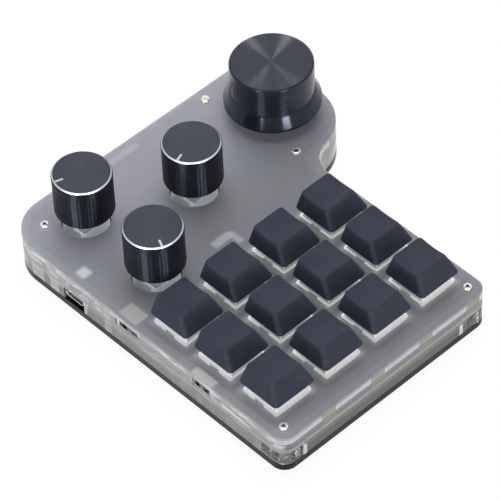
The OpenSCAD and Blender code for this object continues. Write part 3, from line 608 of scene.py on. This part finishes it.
def cap_form(w, h, lean, wall=1.2, roof=1.9, dish=0.7, edge=0.42, foot=0.25, foot_radius=1.5, top_radius=1.35):
    """A low key cap whose top is dished from front to back, with its hollow, about its own axis, its foot at 0."""
    top_w, top_d = CAP_TOP

    def ring_at(share, inset=0.0, radius=None):
        if radius is None:
            radius = max(foot_radius + (top_radius - foot_radius) * share - inset, 0.1)
        return round_ring(w + (top_w - w) * share - 2 * inset, w + (top_d - w) * share - 2 * inset, radius, h * share,
                          (0, lean * share), per_corner=7, per_side=8)

    def dished(p):
        y = (p[1] - lean) / (top_d / 2)
        return (p[0], p[1], h - dish * max(0.0, 1 - y * y))

    skirt, top = ring_at(0.0), ring_at(1.0)
    shoulder = [(p[0], p[1], p[2] - (h - dished(p)[2])) for p in ring_at(1 - edge / math.dist(skirt[0], top[0]))]
    lip = [dished(p) for p in top]
    inner_top = [dished(p) for p in ring_at(1.0, edge)]
    hollow_foot = [(p[0], p[1], foot / 2) for p in ring_at(0.0, wall, 0.6)]
    rings = [ring_at((h - roof) / h, wall, 0.6), hollow_foot,
             [(p[0] * (1 - foot / w), p[1] * (1 - foot / w), 0.0) for p in skirt]]
    rings += [ring_at(share) for share in (foot / h, 0.3, 0.6)]
    for i in range(7):
        t = i / 6
        rings.append([tuple((1 - t) ** 2 * a[n] + 2 * t * (1 - t) * b[n] + t * t * c[n] for n in range(3))
                      for a, b, c in zip(shoulder, lip, inner_top)])
    for share in (0.8, 0.6, 0.4, 0.2, 0.05):
        rings.append([dished((p[0] * share, lean + (p[1] - lean) * share, 0)) for p in inner_top])
    return loft(rings)


for k in range(1, 13):
    low, high = box_mm(f"keycap_{k}")
    stem = centre_of(f"key_stem_{k}")
    lean = 1.2 if k > 8 else 1.9
    form = moved(cap_form(high.x - low.x, high.z - low.z, lean), (stem.x, stem.y, low.z))
    cap = piece(f"cap_{k}", *form, cap_pbt, f"key_{k}", "keycap_plastic", 50)
    cap.modifiers.new("normals", "WEIGHTED_NORMAL").keep_sharp = True
    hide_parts(f"keycap_{k}")


# Knobs

FLUTES = 36


def small_knob(k, turn):
    """A small knob: a fluted side under a plain band, a bright cut rim, a disc and a pointer line turned by degrees."""
    low, high = box_mm(f"small_knob_{k}")
    at = (*centre_of(f"encoder_shaft_{k}").xy, low.z)
    r, disc_r, h = 10.1, 9.48, high.z - low.z
    band, steps = h - 2.9, FLUTES * 8

    def flute(a, z, radius):
        if radius < r - 0.9 or z > band:
            return 0.0
        return 0.04 * max(0.0, math.cos(a * FLUTES)) ** 1.2 * min(1.0, (band - z) / 0.5)

    profile = [(8.3, 0.5), (8.5, 0.0)]
    profile += arc(r - 1.3, 1.3, 1.3, -90, 0, 7)
    profile += [(r - 0.04, z) for z in (4, 8, band - 0.7, band - 0.45, band - 0.2, band)]
    profile += [(r, band + 0.1), (r, h - 0.85)]
    profile += arc(r - 0.4, h - 0.82, 0.4, 0, 60, 4)
    side = turned(profile, steps, at, dent=flute)
    under = turned([(7.4, 6.0), (7.4, 0.6), (8.3, 0.5)], steps, at, close_first=True)
    rim = turned([(r - 0.2, h - 0.48), (r - 0.28, h - 0.4), (disc_r + 0.04, h - 0.03), (disc_r, h - 0.02)], steps, at)
    disc = turned([(disc_r, h - 0.02), (6.5, h - 0.01), (3.5, h), (0.6, h)], steps, at, close_last=True)
    body = f"knob_{k}"
    shell = piece(f"knob_grip_{k}", *join(side, under), small_side, body, "knob_aluminium", 30)
    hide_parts(f"small_knob_{k}")
    piece(f"knob_rim_{k}", *rim, knob_rim, body, "knob_aluminium", 60)
    piece(f"knob_disc_{k}", *disc, small_top, body, "knob_aluminium", 30)
    line = moved(block(3.9, 0.78, 0.1, edge=0.03, radius=0.2), (7.45, 0, 0))
    line = moved(line, (at[0], at[1], at[2] + h - 0.11), turn)
    piece(f"knob_pointer_{k}", *line, pointer_white, body, "switch_white", 40)


for k, turn in enumerate((161.6, 198.0, 245.8), 1):
    small_knob(k, turn)


def large_knob():
    """The large knob: a lip and a cone under a wall with fine turned lines, and a chamfered top."""
    low, high = box_mm("large_knob")
    at = (*centre_of("encoder_shaft_4").xy, low.z)
    h = high.z - low.z
    flange, r, lip, cone, chamfer = (high.x - low.x) / 2, 14.3, 1.4, 5.2, 0.55
    line_pitch, steps = 0.9, 192
    profile = [(12.0, 0.6), (12.2, 0.0)]
    profile += arc(flange - 0.5, 0.5, 0.5, -90, 0, 5)
    profile += arc(flange - 0.25, lip - 0.1, 0.25, 0, 28, 3)
    profile += [(r + 0.32, cone), (r + 0.08, cone + 0.12), (r, cone + 0.3)]
    z = cone + line_pitch
    while z < h - 1.6:
        profile += [(r, z), (r - 0.07, z + 0.07), (r, z + 0.14)]
        z += line_pitch
    disc_r = r - chamfer - 0.12
    profile += [(r, h - chamfer - 0.28), (r - 0.05, h - chamfer - 0.18), (r - chamfer, h - 0.32), (disc_r, h - 0.3)]
    side = turned(profile, steps, at)
    under = turned([(11.4, 6.0), (11.4, 0.7), (12.0, 0.6)], steps, at, close_first=True)
    crown = [(disc_r, h - 0.3), (11.5, h - 0.215), (9, h - 0.135), (6, h - 0.06), (3, h - 0.015), (0.5, h)]
    top = turned(crown, steps, at, close_last=True)
    shell = piece("large_knob_grip", *join(side, under), knob_side, "knob_4", "large_knob_aluminium", 20)
    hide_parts("large_knob")
    piece("large_knob_disc", *top, knob_top, "knob_4", "large_knob_aluminium", 30)


large_knob()


# Camera, light and floor

def look(azimuth, elevation, roll):
    """The camera's axes for a view from the front left: right, up and back."""
    a, e, r = (math.radians(v) for v in (azimuth, elevation, roll))
    back = Vector((math.sin(a) * math.cos(e), -math.cos(a) * math.cos(e), math.sin(e)))
    right = Vector((math.cos(a), math.sin(a), 0))
    up = back.cross(right)
    return (right * math.cos(r) + up * math.sin(r), up * math.cos(r) - right * math.sin(r), back)


# turn, lens and place are fitted to the case's edges and key grid in the photo
right, up, back = look(-41.613, 47.022, -2.815)
lens = bpy.data.cameras.new("camera")
lens.sensor_width = 36.0
lens.lens = 254.2
lens.clip_end = 100.0
camera = bpy.data.objects.new("camera", lens)
scene.collection.objects.link(camera)
axes = Matrix((right, up, back)).transposed().to_4x4()
camera.matrix_world = Matrix.Translation(Vector((-527.6, -583.4, 838.0 + DECK)) * MM) @ axes
scene.camera = camera


def softbox(name, azimuth, elevation, distance, size, watts, diffuse=True, glossy=True):
    """A softbox seen from the object towards azimuth, counted from +X, at an elevation, and turned to the object."""
    a, e = math.radians(azimuth), math.radians(elevation)
    at = Vector((math.cos(a) * math.cos(e), math.sin(a) * math.cos(e), math.sin(e))) * distance
    light = bpy.data.lights.new(name, "AREA")
    light.shape = "RECTANGLE"
    light.size, light.size_y = size
    light.energy = watts
    lamp = bpy.data.objects.new(name, light)
    scene.collection.objects.link(lamp)
    axes = (at - Vector((0, 0, 0.02))).to_track_quat("Z", "Y").to_matrix().to_4x4()
    lamp.matrix_world = Matrix.Translation(at) @ axes
    lamp.visible_diffuse = diffuse
    lamp.visible_glossy = glossy


# one large lamp and two low fills light the object; the strips only show in its gloss
softbox("back_softbox", 48, 70, 1.3, (1.5, 1.5), 16, glossy=False)
softbox("left_fill", 166, 6, 1.2, (0.6, 0.14), 3.2, glossy=False)
softbox("front_fill", 286, 6, 1.2, (0.6, 0.14), 2.8, glossy=False)
for name, azimuth, watts in (("left", 194.5, 34.0), ("front", 256.5, 26.0)):
    softbox(f"{name}_strip", azimuth, 22, 1.2, (0.32, 0.95), watts, diffuse=False)
for name, azimuth in (("right", 41.4), ("back", 55.4)):
    softbox(f"{name}_fan_strip", azimuth, 22, 1.2, (0.06, 0.3), 0.9, diffuse=False)


def seen_or_mirrored(mat):
    """1 on rays from the camera, through glass or off a gloss, which see the white paper, and 0 on light's own way."""
    rays = add(mat, "LightPath").outputs
    seen = add(mat, "Math", (rays["Is Camera Ray"], rays["Is Transmission Ray"]), operation="MAXIMUM")
    return add(mat, "Math", (seen, rays["Is Glossy Ray"]), operation="MAXIMUM")


# Studio: white all round to the eye, and a low pale band as light
world = bpy.data.worlds.new("studio")
scene.world = world
world.use_nodes = True
world.node_tree.nodes.clear()
toward = add(world, "SeparateXYZ", (add(world, "TexCoord").outputs["Generated"],)).outputs
level = add(world, "Math", (toward["Z"],), operation="ABSOLUTE")
low_band = add(world, "MapRange", (level, 0.12, 0.42, 0.85, 0.0), interpolation_type="SMOOTHSTEP")
strength = add(world, "Math", (low_band, 0.06), operation="ADD")
dome = add(world, "Background", {"Color": linear("ffffff"), "Strength": strength})
white = add(world, "Background", {"Color": linear("ffffff"), "Strength": 1.0})
add(world, "OutputWorld", (add(world, "MixShader", (seen_or_mirrored(world), dome, white)),))

# Floor: white paper, a little lit from within to the eye, which keeps the object's shadow
paper = bpy.data.materials.new("floor_paper")
paper.use_nodes = True
paper.node_tree.nodes.clear()
matt = add(paper, "BsdfDiffuse", {"Color": linear("e6e6e8")})
shaded = add(paper, "BsdfDiffuse", {"Color": linear("58585a")})
glow = add(paper, "Emission", {"Color": linear("ffffff"), "Strength": 0.94})
lit = add(paper, "AddShader", (shaded, glow))
add(paper, "OutputMaterial", (add(paper, "MixShader", (seen_or_mirrored(paper), matt, lit)),))
mesh = bpy.data.meshes.new("floor")
mesh.from_pydata([(-4, -4, 0), (4, -4, 0), (4, 4, 0), (-4, 4, 0)], [], [(0, 1, 2, 3)])
mesh.materials.append(paper)
floor = bpy.data.objects.new("floor", mesh)
scene.collection.objects.link(floor)
floor.location.z = -0.0002
